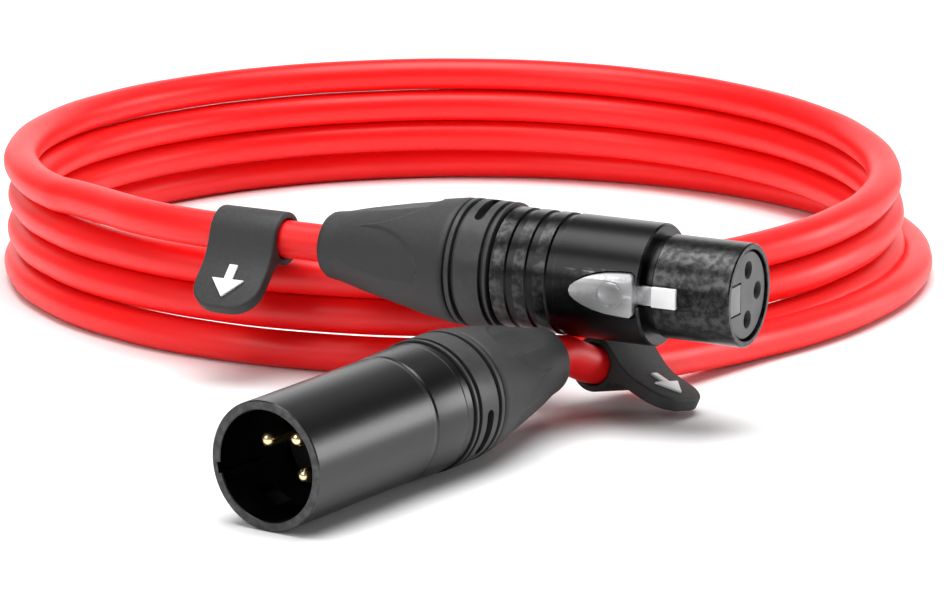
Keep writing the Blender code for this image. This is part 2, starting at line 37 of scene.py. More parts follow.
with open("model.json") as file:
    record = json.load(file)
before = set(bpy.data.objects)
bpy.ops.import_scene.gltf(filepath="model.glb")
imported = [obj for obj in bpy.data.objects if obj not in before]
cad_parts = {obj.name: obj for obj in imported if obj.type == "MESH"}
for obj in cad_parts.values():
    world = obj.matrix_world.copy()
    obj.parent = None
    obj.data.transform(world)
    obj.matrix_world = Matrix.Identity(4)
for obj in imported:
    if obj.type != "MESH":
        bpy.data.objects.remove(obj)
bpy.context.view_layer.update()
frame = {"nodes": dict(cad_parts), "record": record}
MM = 0.001

# Connector axes: rear centre of the boot in mm, heading and pitch in degrees
FEMALE_REAR = Vector((-21.7, -36.8, 22.3))
FEMALE_HEADING = (-27.0, -0.5)
MALE_REAR = Vector((11.7, -64.1, 10.35))
MALE_HEADING = (-124.6, -0.7)
MALE_LENGTH = 70.0
MALE_CAVITY_DEPTH = 15.5
PIN_TIP_DEPTH = 3.8
MALE_KEY_ROLL = 236.0
KEYWAY_ANGLE = -46.0
COLLAR_SLOTS = (-77.0, 103.0)
CONTACT_CIRCLE = 3.85
CONTACT_ANGLES = (94.0, -94.0, 180.0)

# The cable's route in mm: turns as (radius, centre offset x, offset y, height)
COIL_CENTRE = (-1.8, 44.3)
TURNS = ((75.7, -0.9, 0.0, 21.1), (75.6, -0.3, -0.4, 15.1),
         (75.9, -0.3, 0.0, 9.1), (78.8, 1.8, 1.0, 3.0))
FIRST_TURN = 0.17
LAST_TURN = 3.80
FEMALE_TAIL = ((-52.0, -17.2, 22.3), (-59.5, -6.6, 21.9), (-65.3, 2.2, 21.5))
MALE_TAIL = ((19.2, -55.2, 7.4), (26.9, -46.0, 5.4), (36.0, -35.4, 4.2), (46.0, -23.6, 3.2),
             (57.2, -11.4, 3.0), (66.7, 2.6, 3.0))

# Boot: (along, radius) of its cone in mm, and its four finger flats
BOOT_CONE = ((0.0, 4.4), (0.25, 4.85), (0.8, 5.25), (7.0, 6.85), (13.5, 8.25), (20.0, 9.3), (24.0, 9.92),
             (24.6, 9.9), (24.8, 9.7))
FLAT_END = 19.9
FLAT_HALF = 48.0
FLAT_STEP = 0.25

# Tags: place along the cable, droop in degrees and sizes in mm
FEMALE_TAG_BACK = 13.7
FEMALE_TAG_DROOP = 45.0
MALE_TAG_DROOP = 20.0
TAG_HALF_WIDTH = 6.0
TAG_REACH = 15.0
TAG_TOP = 0.3
TAG_THICKNESS = 2.2
TAG_LOOP = 4.3


# ---------------------------------------------------------------- directions

def direction(heading, pitch):
    heading, pitch = radians(heading), radians(pitch)
    return Vector((cos(heading) * cos(pitch), sin(heading) * cos(pitch), sin(pitch)))


def axis_frame(origin, forward, key_side):
    """Matrix with local Z forward and local X as near key_side as it can be; origin in mm."""
    z_axis = forward.normalized()
    x_axis = (key_side - key_side.dot(z_axis) * z_axis).normalized()
    matrix = Matrix((x_axis, z_axis.cross(x_axis), z_axis)).transposed().to_4x4()
    matrix.translation = origin * MM
    return matrix


UP = Vector((0.0, 0.0, 1.0))
FEMALE_FORWARD = direction(*FEMALE_HEADING)
MALE_FORWARD = direction(*MALE_HEADING)
FEMALE = axis_frame(FEMALE_REAR, FEMALE_FORWARD, FEMALE_FORWARD.cross(UP))
MALE = axis_frame(MALE_REAR, MALE_FORWARD,
                  cos(radians(MALE_KEY_ROLL)) * Vector((-MALE_FORWARD.y, MALE_FORWARD.x, 0.0))
                  + sin(radians(MALE_KEY_ROLL)) * UP)


def drooping(along, droop):
    """Direction square to the cable, right of it and so many degrees below level."""
    return along.cross(UP).normalized() * cos(radians(droop)) - UP * sin(radians(droop))


def tag_frames():
    first, second = Vector(MALE_TAIL[0]), Vector(MALE_TAIL[1])
    along = second - first
    return {
        "female": axis_frame(FEMALE_REAR - FEMALE_TAG_BACK * FEMALE_FORWARD, FEMALE_FORWARD,
                             drooping(FEMALE_FORWARD, FEMALE_TAG_DROOP)),
        "male": axis_frame((first + second) / 2, along, drooping(along, MALE_TAG_DROOP)),
    }


# ---------------------------------------------------------------- settings

class CoilSettings(bpy.types.PropertyGroup):
    """Sizes and colours a user may change."""
    cable_diameter: bpy.props.FloatProperty(
        name="Cable diameter", description="Outside diameter of the jacket",
        default=0.006, min=0.004, max=0.008, unit="LENGTH", precision=4)
    cable_length: bpy.props.FloatProperty(
        name="Cable length", description="Length of cable from boot to boot",
        default=1.95, min=1.7, max=2.1, unit="LENGTH")
    points_per_turn: bpy.props.IntProperty(
        name="Points per turn", description="Control points on each turn of the coil",
        default=24, min=12, max=48)
    segments: bpy.props.IntProperty(
        name="Segments", description="Sides of the turned pieces", default=128, min=48, max=192)
    jacket_colour: bpy.props.FloatVectorProperty(
        name="Jacket", description="Colour of the cable's jacket", subtype="COLOR",
        size=3, min=0.0, max=1.0, default=(0.90, 0.004, 0.005))
    rubber_colour: bpy.props.FloatVectorProperty(
        name="Rubber", description="Colour of the boots and tags", subtype="COLOR",
        size=3, min=0.0, max=1.0, default=(0.021, 0.0215, 0.0215))
    shell_colour: bpy.props.FloatVectorProperty(
        name="Shell", description="Colour of the plated shells", subtype="COLOR",
        size=3, min=0.0, max=1.0, default=(0.048, 0.048, 0.049))
    mark_colour: bpy.props.FloatVectorProperty(
        name="Mark", description="Colour of the arrows on the tags", subtype="COLOR",
        size=3, min=0.0, max=1.0, default=(0.86, 0.87, 0.86))


def settings():
    return bpy.context.scene.xlr_coil


# ---------------------------------------------------------------- shader groups and materials

def new_group(name, inputs, outputs):
    """Empty shader group with named float, vector or colour sockets."""
    tree = bpy.data.node_groups.new(name, "ShaderNodeTree")
    for label, kind, value in inputs:
        socket = tree.interface.new_socket(label, in_out="INPUT", socket_type=kind)
        if value is not None:
            socket.default_value = value
    for label, kind in outputs:
        tree.interface.new_socket(label, in_out="OUTPUT", socket_type=kind)
    return tree, tree.nodes.new("NodeGroupInput"), tree.nodes.new("NodeGroupOutput")


def noise(tree, vector, scale, detail=3.0, roughness=0.55):
    """Noise texture; scale is a number or a socket."""
    node = tree.nodes.new("ShaderNodeTexNoise")
    node.inputs["Detail"].default_value = detail
    node.inputs["Roughness"].default_value = roughness
    if isinstance(scale, float):
        node.inputs["Scale"].default_value = scale
    else:
        tree.links.new(scale, node.inputs["Scale"])
    tree.links.new(vector, node.inputs["Vector"])
    return node.outputs["Fac"]


def maths(tree, operation, first, second):
    node = tree.nodes.new("ShaderNodeMath")
    node.operation = operation
    for socket, value in zip(node.inputs, (first, second)):
        if isinstance(value, (int, float)):
            socket.default_value = value
        else:
            tree.links.new(value, socket)
    return node.outputs[0]


def map_range(tree, value, low, high, to_low=0.0, to_high=1.0):
    node = tree.nodes.new("ShaderNodeMapRange")
    node.clamp = True
    for label, number in (("From Min", low), ("From Max", high), ("To Min", to_low), ("To Max", to_high)):
        node.inputs[label].default_value = number
    tree.links.new(value, node.inputs["Value"])
    return node.outputs["Result"]


def grain_group():
    """Fine grain as a height, and broad uneven patches."""
    tree = bpy.data.node_groups.get("fine grain")
    if tree:
        return tree
    tree, start, end = new_group(
        "fine grain",
        [("Vector", "NodeSocketVector", None), ("Grain Scale", "NodeSocketFloat", 2500.0),
         ("Patch Scale", "NodeSocketFloat", 60.0)],
        [("Height", "NodeSocketFloat"), ("Patches", "NodeSocketFloat")])
    fine = noise(tree, start.outputs["Vector"], start.outputs["Grain Scale"], 4.0, 0.6)
    broad = noise(tree, start.outputs["Vector"], start.outputs["Patch Scale"], 3.0)
    tree.links.new(fine, end.inputs["Height"])
    tree.links.new(map_range(tree, broad, 0.32, 0.68), end.inputs["Patches"])
    return tree


def wear_group():
    """Mask of rubbed edges, broken up by noise."""
    tree = bpy.data.node_groups.get("edge wear")
    if tree:
        return tree
    tree, start, end = new_group(
        "edge wear", [("Vector", "NodeSocketVector", None), ("Amount", "NodeSocketFloat", 0.5)],
        [("Mask", "NodeSocketFloat")])
    geometry = tree.nodes.new("ShaderNodeNewGeometry")
    edge = map_range(tree, geometry.outputs["Pointiness"], 0.53, 0.62)
    broken = map_range(tree, noise(tree, start.outputs["Vector"], 900.0, 5.0), 0.40, 0.62)
    mask = maths(tree, "MULTIPLY", maths(tree, "MULTIPLY", edge, broken), start.outputs["Amount"])
    tree.links.new(mask, end.inputs["Mask"])
    return tree


def dust_group():
    """Mask of fine dust that settles on what faces up."""
    tree = bpy.data.node_groups.get("settled dust")
    if tree:
        return tree
    tree, start, end = new_group(
        "settled dust", [("Vector", "NodeSocketVector", None), ("Amount", "NodeSocketFloat", 0.1)],
        [("Mask", "NodeSocketFloat")])
    geometry = tree.nodes.new("ShaderNodeNewGeometry")
    split = tree.nodes.new("ShaderNodeSeparateXYZ")
    tree.links.new(geometry.outputs["Normal"], split.inputs[0])
    facing = map_range(tree, split.outputs["Z"], 0.1, 1.0)
    specks = map_range(tree, noise(tree, start.outputs["Vector"], 1400.0, 6.0, 0.7), 0.42, 0.72)
    mask = maths(tree, "MULTIPLY", maths(tree, "MULTIPLY", facing, specks), start.outputs["Amount"])
    tree.links.new(mask, end.inputs["Mask"])
    return tree


def place_group(tree, group, vector, **values):
    node = tree.nodes.new("ShaderNodeGroup")
    node.node_tree = group
    tree.links.new(vector, node.inputs["Vector"])
    for label, value in values.items():
        node.inputs[label.replace("_", " ")].default_value = value
    return node


def mix_colour(tree, factor, first, second):
    """Mixes two colours; each is a tuple or a socket."""
    node = tree.nodes.new("ShaderNodeMix")
    node.data_type = "RGBA"
    tree.links.new(factor, node.inputs["Factor"])
    for socket, value in ((node.inputs[6], first), (node.inputs[7], second)):
        if isinstance(value, bpy.types.NodeSocket):
            tree.links.new(value, socket)
        else:
            socket.default_value = (*value, 1.0)
    return node.outputs[2]


def surface(name, colour, shade, roughness, grain=(2500.0, 0.00002), patches=60.0, metallic=0.0,
            specular=0.5, spread=0.06, wear=None, dust=0.0, coat=0.0, stretch=None, axis=None):
    """Procedural material: two tones in patches, grain, rubbed edges and dust.

    axis is the frame of the connector that a stretched grain is turned to.
    """
    material = bpy.data.materials.get(name)
    if material:
        return material
    material = bpy.data.materials.new(name)
    material.use_nodes = True
    material.diffuse_color = (*colour, 1.0)
    tree = material.node_tree
    shader = tree.nodes["Principled BSDF"]
    shader.inputs["Metallic"].default_value = metallic
    shader.inputs["Specular IOR Level"].default_value = specular
    shader.inputs["Coat Weight"].default_value = coat
    shader.inputs["Coat Roughness"].default_value = 0.25
    vector = tree.nodes.new("ShaderNodeTexCoord").outputs["Object"]
    grained = vector
    if axis is not None:
        turned = axis.inverted()
        mapping = tree.nodes.new("ShaderNodeMapping")
        mapping.inputs["Location"].default_value = turned.translation
        mapping.inputs["Rotation"].default_value = turned.to_euler()
        tree.links.new(vector, mapping.inputs["Vector"])
        grained = mapping.outputs["Vector"]
    if stretch:
        squeeze = tree.nodes.new("ShaderNodeMapping")
        squeeze.inputs["Scale"].default_value = stretch
        tree.links.new(grained, squeeze.inputs["Vector"])
        grained = squeeze.outputs["Vector"]
    texture = place_group(tree, grain_group(), grained, Grain_Scale=grain[0], Patch_Scale=patches)
    base = mix_colour(tree, texture.outputs["Patches"], colour, shade)
    if dust:
        settled = place_group(tree, dust_group(), vector, Amount=dust)
        base = mix_colour(tree, settled.outputs["Mask"], base, (0.35, 0.34, 0.33))
    if wear:
        rubbed = place_group(tree, wear_group(), vector, Amount=wear[0])
        base = mix_colour(tree, rubbed.outputs["Mask"], base, wear[1])
    tree.links.new(base, shader.inputs["Base Color"])
    rough = map_range(tree, texture.outputs["Patches"], 0.0, 1.0, roughness - spread, roughness + spread)
    tree.links.new(rough, shader.inputs["Roughness"])
    bump = tree.nodes.new("ShaderNodeBump")
    bump.inputs["Strength"].default_value = 1.0
    bump.inputs["Distance"].default_value = grain[1]
    tree.links.new(texture.outputs["Height"], bump.inputs["Height"])
    tree.links.new(bump.outputs["Normal"], shader.inputs["Normal"])
    return material


def tone(colour, factor):
    return tuple(channel * factor for channel in colour)


def jacket_material():
    colour = tuple(settings().jacket_colour)
    return surface("jacket red vinyl", colour, tone(colour, 0.95), 0.42, (1800.0, 0.000012), 45.0,
                   specular=0.4, spread=0.04, dust=0.012)


def rubber_material(name="boot rubber", roughness=0.6):
    colour = tuple(settings().rubber_colour)
    return surface(name, colour, tone(colour, 1.25), roughness, (3200.0, 0.00003), 70.0,
                   specular=0.45, wear=(0.35, tone(colour, 3.0)), dust=0.05)


def shell_material(name, axis, level=1.0):
    # level below 1 gives a darker copy of the shell's black: painted shade, used on the female shell.
    colour = tone(tuple(settings().shell_colour), level)
    return surface(name, colour, tone(colour, 1.07), 0.29, (5200.0, 0.000014), 80.0, metallic=1.0,
                   spread=0.007, wear=(0.6, (0.2, 0.2, 0.2)), dust=0.003, axis=axis,
                   stretch=(1.0, 1.0, 0.35))


def gland_material():
    colour = tone(tuple(settings().rubber_colour), 1.05)
    return surface("collar moulded plastic", colour, tone(colour, 0.85), 0.5, (2600.0, 0.000015), 90.0,
                   specular=0.45, wear=(0.4, tone(colour, 3.0)), dust=0.03)


def insert_material(name="insert moulded plastic", colour=(0.085, 0.086, 0.086)):
    return surface(name, colour, tone(colour, 0.86), 0.5, (3000.0, 0.00001), 120.0)


def gold_material():
    return surface("gold plating", (0.96, 0.78, 0.48), (0.88, 0.68, 0.38), 0.2, (6000.0, 0.000003),
                   300.0, metallic=1.0, spread=0.05)


def nickel_material(name, axis, colour=(0.46, 0.46, 0.47), roughness=0.38, metallic=0.7):
    return surface(name, colour, tone(colour, 0.92), roughness, (5000.0, 0.000006), 200.0,
                   metallic=metallic, axis=axis, stretch=(1.0, 1.0, 0.12), wear=(0.7, (0.9, 0.9, 0.9)))


def mark_material():
    colour = tuple(settings().mark_colour)
    return surface("mark white print", colour, tone(colour, 0.95), 0.5, (2600.0, 0.00001), 150.0, dust=0.02)


# ---------------------------------------------------------------- modelling helpers

def clear_selection():
    if bpy.context.mode != "OBJECT":
        bpy.ops.object.mode_set(mode="OBJECT")
    bpy.ops.object.select_all(action="DESELECT")


def pick(piece):
    clear_selection()
    piece.select_set(True)
    bpy.context.view_layer.objects.active = piece


def take(name):
    """The primitive just added, under its own name."""
    piece = bpy.context.object
    piece.name = name
    piece.data.name = name
    return piece


def turn(name, rings, segments=None, hollow=True):
    """Ring of edges drawn out along Z through (along, radius) in mm.

    A hollow piece's last ring is joined to its first; a solid one keeps its end faces.
    """
    clear_selection()
    along, radius = rings[0]
    bpy.ops.mesh.primitive_circle_add(
        vertices=segments or settings().segments, radius=radius * MM, location=(0.0, 0.0, along * MM),
        fill_type="NOTHING" if hollow else "NGON")
    piece = take(name)
    bpy.ops.object.transform_apply(location=True)
    bpy.ops.object.mode_set(mode="EDIT")
    bpy.ops.mesh.select_all(action="SELECT")
    path = list(rings[1:]) + ([rings[0]] if hollow else [])
    for next_along, next_radius in path:
        bpy.ops.mesh.extrude_region_move(
            TRANSFORM_OT_translate={"value": (0.0, 0.0, (next_along - along) * MM)})
        grow = next_radius / radius
        bpy.ops.transform.resize(value=(grow, grow, 1.0), center_override=(0.0, 0.0, next_along * MM))
        along, radius = next_along, next_radius
    bpy.ops.mesh.select_all(action="SELECT")
    bpy.ops.mesh.remove_doubles(threshold=0.000001)
    bpy.ops.mesh.normals_make_consistent(inside=False)
    bpy.ops.object.mode_set(mode="OBJECT")
    return piece


def slab(name, outline, low, high):
    """Flat plate with an outline of (x, y) mm, drawn out from low to high along Z."""
    clear_selection()
    bpy.ops.mesh.primitive_circle_add(vertices=len(outline), radius=MM, fill_type="NGON")
    piece = take(name)
    for vertex, (x, y) in zip(piece.data.vertices, outline):
        vertex.co = (x * MM, y * MM, low * MM)
    bpy.ops.object.mode_set(mode="EDIT")
    bpy.ops.mesh.select_all(action="SELECT")
    bpy.ops.mesh.extrude_region_move(TRANSFORM_OT_translate={"value": (0.0, 0.0, (high - low) * MM)})
    bpy.ops.mesh.select_all(action="SELECT")
    bpy.ops.mesh.normals_make_consistent(inside=False)
    bpy.ops.object.mode_set(mode="OBJECT")
    return piece


def block(name, low, high):
    """Cube primitive between two corners in mm."""
    clear_selection()
    low, high = Vector(low) * MM, Vector(high) * MM
    bpy.ops.mesh.primitive_cube_add(size=1.0, location=(low + high) / 2, scale=high - low)
    piece = take(name)
    bpy.ops.object.transform_apply(location=True, rotation=True, scale=True)
    return piece


def rod(name, radius, low, high, centre=(0.0, 0.0), segments=48):
    clear_selection()
    bpy.ops.mesh.primitive_cylinder_add(
        vertices=segments, radius=radius * MM, depth=(high - low) * MM,
        location=(centre[0] * MM, centre[1] * MM, (low + high) / 2 * MM))
    piece = take(name)
    bpy.ops.object.transform_apply(location=True)
    return piece


def turn_about_z(piece, angle):
    """Turns the mesh about the Z axis, in degrees."""
    piece.data.transform(Matrix.Rotation(radians(angle), 4, "Z"))


def bevel(piece, width, segments=2, angle=30.0):
    pick(piece)
    modifier = piece.modifiers.new("rounded edges", "BEVEL")
    modifier.width = width * MM
    modifier.segments = segments
    modifier.limit_method = "ANGLE"
    modifier.angle_limit = radians(angle)
    bpy.ops.object.modifier_apply(modifier=modifier.name)


def cut(piece, cutter, operation="DIFFERENCE"):
    """Boolean with a cutter that is then deleted."""
    pick(piece)
    modifier = piece.modifiers.new("cut", "BOOLEAN")
    modifier.operation = operation
    modifier.solver = "EXACT"
    modifier.object = cutter
    bpy.ops.object.modifier_apply(modifier=modifier.name)
    bpy.data.objects.remove(cutter)


def finish_piece(piece, place, material, body, replaced, angle=28.0):
    """Puts a piece in its place, smooths it and ties it to the frame."""
    piece.matrix_world = place
    pick(piece)
    bpy.ops.object.transform_apply(location=True, rotation=True, scale=True)
    bpy.ops.object.shade_smooth_by_angle(angle=radians(angle))
    piece.data.materials.clear()
    piece.data.materials.append(material)
    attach(piece, body)
    if replaced:
        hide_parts(*replaced)
    return piece


def smooth_step(value):
    value = min(max(value, 0.0), 1.0)
    return value * value * (3.0 - 2.0 * value)


def between(points, at):
    """Straight-line reading of (position, value) points."""
    for (x0, y0), (x1, y1) in zip(points, points[1:]):
        if at <= x1:
            return y0 + (y1 - y0) * (at - x0) / (x1 - x0)
    return points[-1][1]


def contact_centres(sign):
    for number, angle in enumerate(CONTACT_ANGLES, 1):
        where = radians(sign * angle)
        yield number, (CONTACT_CIRCLE * cos(where), CONTACT_CIRCLE * sin(where))


# ---------------------------------------------------------------- cable

def coil_point(turns):
    """Centre of the cable after so many turns, counted clockwise from the front."""
    whole, part = int(turns), turns - int(turns)
    here = TURNS[min(whole, 3)]
    above, below = TURNS[max(whole - 1, 0)], TURNS[min(whole + 1, 3)]
    if part < 0.15:
        share, shape_a, shape_b = smooth_step((part + 0.25) / 0.4), above, here
    else:
        share, shape_a, shape_b = smooth_step((part - 0.75) / 0.4), here, below
    radius, shift_x, shift_y = (a + (b - a) * share for a, b in zip(shape_a[:3], shape_b[:3]))
    height = here[3] + (below[3] - here[3]) * smooth_step((part - 0.5) / 0.5)
    angle = radians(-90.0 - 360.0 * turns)
    return Vector((COIL_CENTRE[0] + shift_x + radius * cos(angle),
                   COIL_CENTRE[1] + shift_y + radius * sin(angle), height))


def cable_route():
    """Points of the cable's centre line in mm, from inside one boot to inside the other."""
    route = [FEMALE_REAR + FEMALE_FORWARD * along for along in (20.0, 10.0, 0.0, -7.0, -14.0, -21.0)]
    route += [Vector(point) for point in FEMALE_TAIL]
    steps = round((LAST_TURN - FIRST_TURN) * settings().points_per_turn)
    route += [coil_point(FIRST_TURN + (LAST_TURN - FIRST_TURN) * i / steps) for i in range(steps + 1)]
    route += [Vector(point) for point in reversed(MALE_TAIL)]
    route += [MALE_REAR + MALE_FORWARD * along for along in (-4.0, 0.0, 10.0, 20.0)]
    return route


class XLR_OT_cable(bpy.types.Operator):
    """Lays the cable in its coil, from one connector to the other"""
    bl_idname = "xlr_coil.cable"
    bl_label = "Cable"

    def execute(self, context):
        curve = bpy.data.curves.new("cable", "CURVE")
        curve.dimensions = "3D"
        curve.resolution_u = 8
        curve.render_resolution_u = 8
        curve.bevel_depth = settings().cable_diameter / 2
        curve.bevel_resolution = 14
        curve.use_fill_caps = True
        route = cable_route()
        spline = curve.splines.new("BEZIER")
        spline.bezier_points.add(len(route) - 1)
        for target, point in zip(spline.bezier_points, route):
            target.co = point * MM
            target.handle_left_type = target.handle_right_type = "AUTO"
        cable = bpy.data.objects.new("cable", curve)
        context.scene.collection.objects.link(cable)
        curve.materials.append(jacket_material())
        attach(cable, "root")
        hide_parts("cable_coil", "cable_to_female", "cable_to_male")
        return {"FINISHED"}


class XLR_OT_declare_cable(bpy.types.Operator):
    """Takes no action; it only returns finished"""
    bl_idname = "xlr_coil.declare_cable"
    bl_label = "Cable facts"

    def execute(self, context):
        return {"FINISHED"}


# ---------------------------------------------------------------- boots and collars

def boot_surface(along, angle):
    """Radius of the boot's outside, with a flat for a finger on each quarter."""
    cone = between(BOOT_CONE, along)
    off_centre = abs((angle + 45.0) % 90.0 - 45.0)
    flat = min((5.15 + 0.18 * along) / cos(radians(off_centre)), cone - FLAT_STEP)
    half = FLAT_HALF * max(0.0, 1.0 - (along / FLAT_END) ** 3) ** 0.55
    pressed = smooth_step((half - off_centre) / 2.0)
    return cone + (min(cone, flat) - cone) * pressed * smooth_step((along - 0.8) / 3.0)


def make_boot(side, place):
    outer = [point for point in BOOT_CONE if point[0] < 1.0]
    outer += [(1.0 + 0.33 * i, between(BOOT_CONE, 1.0 + 0.33 * i)) for i in range(70)]
    outer += [(24.6, 9.9), (24.8, 9.7)]
    inner = [(24.8, 7.4), (9.0, 5.7), (7.0, 3.35), (3.0, 3.35), (1.0, 3.45), (0.0, 3.95)]
    boot = turn(f"{side}_boot_rubber", outer + inner, 256)
    for vertex in boot.data.vertices:
        along = vertex.co.z / MM
        radius = hypot(vertex.co.x, vertex.co.y) / MM
        if 0.9 < along < 24.5 and abs(radius - between(BOOT_CONE, along)) < 0.02:
            moved = boot_surface(along, degrees(atan2(vertex.co.y, vertex.co.x))) / radius
            vertex.co.x *= moved
            vertex.co.y *= moved
    return finish_piece(boot, place, rubber_material(), f"{side}_boot", [f"{side}_boot"], 50.0)


class XLR_OT_boots(bpy.types.Operator):
    """Rubber boots with four finger flats"""
    bl_idname = "xlr_coil.boots"
    bl_label = "Boots"

    def execute(self, context):
        make_boot("female", FEMALE)
        make_boot("male", MALE)
        return {"FINISHED"}


def make_collar(side, place):
    """Threaded collar: two black grooves and two long slots between them."""
    collar = turn(f"{side}_collar", [
        (25.1, 7.6), (25.1, 9.8), (25.3, 10.0), (25.95, 10.0), (26.0, 9.95), (26.1, 9.3), (26.75, 9.3),
        (26.85, 9.95), (26.9, 10.0), (31.0, 10.0), (31.05, 9.95), (31.1, 9.3), (31.75, 9.3),
        (31.85, 9.95), (31.9, 10.0), (32.3, 10.0), (32.4, 9.9), (32.4, 8.05), (39.5, 8.05), (39.5, 6.8),
        (30.0, 6.8)])
    for angle in COLLAR_SLOTS:
        slot = slab("slot", [(0.82 * cos(a), (3.0 if sin(a) > 0 else -3.0) + 0.82 * sin(a))
                             for a in (2 * pi * (i + 0.5) / 24 for i in range(24))], -3.5, 3.5)
        slot.data.transform(Matrix.Translation((11.9 * MM, 0.0, 28.95 * MM))
                            @ Matrix.Rotation(radians(90.0), 4, "Y"))
        turn_about_z(slot, angle)
        cut(collar, slot)
    return finish_piece(collar, place, gland_material(), f"{side}_boot", [f"{side}_gland"])


class XLR_OT_collars(bpy.types.Operator):
    """Grooved collars that screw into the shells"""
    bl_idname = "xlr_coil.collars"
    bl_label = "Collars"

    def execute(self, context):
        make_collar("female", FEMALE)
        make_collar("male", MALE)
        return {"FINISHED"}


# ---------------------------------------------------------------- female connector

def lever_outline(spread=0.0):
    """Pointed arch of the lever as (across, along) mm, spread outwards for its pocket."""
    side = ((0.0, 46.5), (0.75, 46.75), (1.4, 47.5), (2.1, 48.8), (2.7, 50.4), (3.1, 52.3), (3.3, 54.5),
            (3.35, 56.4))
    right = [(x + spread, y if i else y - spread) for i, (x, y) in enumerate(side)]
    right[0] = (0.0, side[0][1] - spread)
    front = [(2.9 + spread, 56.85 + spread), (1.5, 57.05 + spread), (-1.5, 57.05 + spread),
             (-2.9 - spread, 56.85 + spread)]
    return right + front + [(-x, y) for x, y in reversed(right[1:])]


def upright(piece):
    """Turns a plate drawn as (across, along) so that it faces the key side."""
    piece.data.transform(Matrix(((0, 0, 1, 0), (1, 0, 0, 0), (0, 1, 0, 0), (0, 0, 0, 1))))
    return piece


class XLR_OT_female_shell(bpy.types.Operator):
    """Stepped shell of the female connector, open for its lever"""
    bl_idname = "xlr_coil.female_shell"
    bl_label = "Female shell"

    def execute(self, context):
        rings = [(32.7, 9.15), (32.85, 9.45)]
        for start in (35.2, 38.6, 42.0):
            rings += [(start, 9.45), (start + 0.25, 9.12), (start + 1.42, 9.12), (start + 1.5, 9.45)]
        rings += [(43.8, 9.45), (57.2, 9.45), (57.45, 9.45), (57.8, 9.2), (57.8, 7.55),
                  (59.3, 7.55), (59.3, 7.85), (59.45, 7.95), (71.8, 7.95),
                  (72.0, 7.75), (72.0, 7.1), (71.9, 7.0), (40.5, 7.0), (40.5, 8.4),
                  (32.7, 8.4)]
        shell = turn("female_shell_body", rings)
        cut(shell, upright(slab("pocket", lever_outline(0.28), 5.0, 12.0)))
        cut(shell, block("hook_way", (5.0, -1.7, 56.5), (12.0, 1.7, 63.6)))
        cut(shell, block("hinge_room", (5.0, -3.7, 46.6), (7.7, 3.7, 50.4)))
        # The nose's front faces and the shoulder's forward face take a pale grey metal, lighter than the
        # shell.
        for face in shell.data.polygons:
            along = face.center.z / MM
            face.material_index = int(along > 71.75 or 57.4 < along < 57.9)
        # The female shell's black is darkened to 0.45 of the male shell's: painted shade.
        finish_piece(shell, FEMALE, shell_material("female shell satin black painted shade", FEMALE, 0.45), "root",
                     ["female_shell"])
        shell.data.materials.append(nickel_material("pale front faces", FEMALE, (0.74, 0.74, 0.75), 0.45, 0.6))
        return {"FINISHED"}


class XLR_OT_female_insert(bpy.types.Operator):
    """Insert with three sockets and its key"""
    bl_idname = "xlr_coil.female_insert"
    bl_label = "Female insert"

    def execute(self, context):
        insert = turn("female_insert_block", [(45.0, 6.7), (71.45, 6.7), (71.6, 6.55)], 96, hollow=False)
        for number, centre in contact_centres(1):
            cut(insert, rod("bore", 1.4, 44.0, 73.0, centre, 40))
        cut(insert, block("lever_pocket", (5.1, -3.8, 44.0), (9.0, 3.8, 64.2)))
        cut(insert, block("key_pocket", (2.3, -2.5, 64.8), (9.0, 2.5, 73.0)))
        finish_piece(insert, FEMALE, insert_material(), "root", ["female_insert"])
        for number, centre in contact_centres(1):
            outline = [(51.0, 0.8), (67.6, 0.8), (67.6, 1.25), (51.0, 1.25)]
            socket = turn(f"female_socket_{number}", outline, 32)
            socket.data.transform(Matrix.Translation((centre[0] * MM, centre[1] * MM, 0.0)))
            finish_piece(socket, FEMALE, gold_material(), "root", [f"female_contact_{number}"])
        key = block("female_key_block", (2.6, -2.2, 65.1), (6.6, 2.2, 71.7))
        bevel(key, 0.12)
        finish_piece(key, FEMALE, insert_material("key pale plastic", (0.20, 0.20, 0.20)), "root",
                     ["female_key"])
        return {"FINISHED"}


class XLR_OT_latch(bpy.types.Operator):
    """Latch lever with its thumb dimple, and the hook in front of it"""
    bl_idname = "xlr_coil.latch"
    bl_label = "Latch"

    def execute(self, context):
        lever = upright(slab("latch_thumb_lever", lever_outline(), 7.6, 12.0))
        cut(lever, rod("crown", 10.0, 40.0, 60.0, segments=192), "INTERSECT")
        bevel(lever, 0.28, 3, 40.0)
        clear_selection()
        bpy.ops.mesh.primitive_torus_add(
            major_radius=2.0 * MM, minor_radius=0.16 * MM, major_segments=64, minor_segments=12,
            location=(9.93 * MM, 0.0, 53.4 * MM), rotation=(0.0, radians(90.0), 0.0))
        groove = take("groove")
        bpy.ops.object.transform_apply(location=True, rotation=True)
        cut(lever, groove)
        clear_selection()
        bpy.ops.mesh.primitive_uv_sphere_add(segments=64, ring_count=48, radius=9.0 * MM,
                                             location=(18.78 * MM, 0.0, 53.4 * MM))
        dimple = take("dimple")
        bpy.ops.object.transform_apply(location=True)
        cut(lever, dimple)
        finish_piece(lever, FEMALE, nickel_material("lever satin nickel", FEMALE), "latch",
                     ["latch_lever"], 35.0)
        arm = block("latch_arm", (7.15, -1.45, 56.6), (8.0, 1.45, 60.2))
        bevel(arm, 0.1)
        finish_piece(arm, FEMALE, nickel_material("lever satin nickel", FEMALE), "latch", [])
        hook = block("latch_hook", (7.1, -1.55, 59.5), (8.35, 1.55, 63.45))
        bevel(hook, 0.12)
        # The hook is the lever's nickel painted near white: a painted reflection of the white floor.
        bright = nickel_material("hook nickel painted floor reflection", FEMALE, (0.97, 0.97, 0.97), 0.5, 0.15)
        finish_piece(hook, FEMALE, bright, "latch", [])
        return {"FINISHED"}


# ---------------------------------------------------------------- male connector

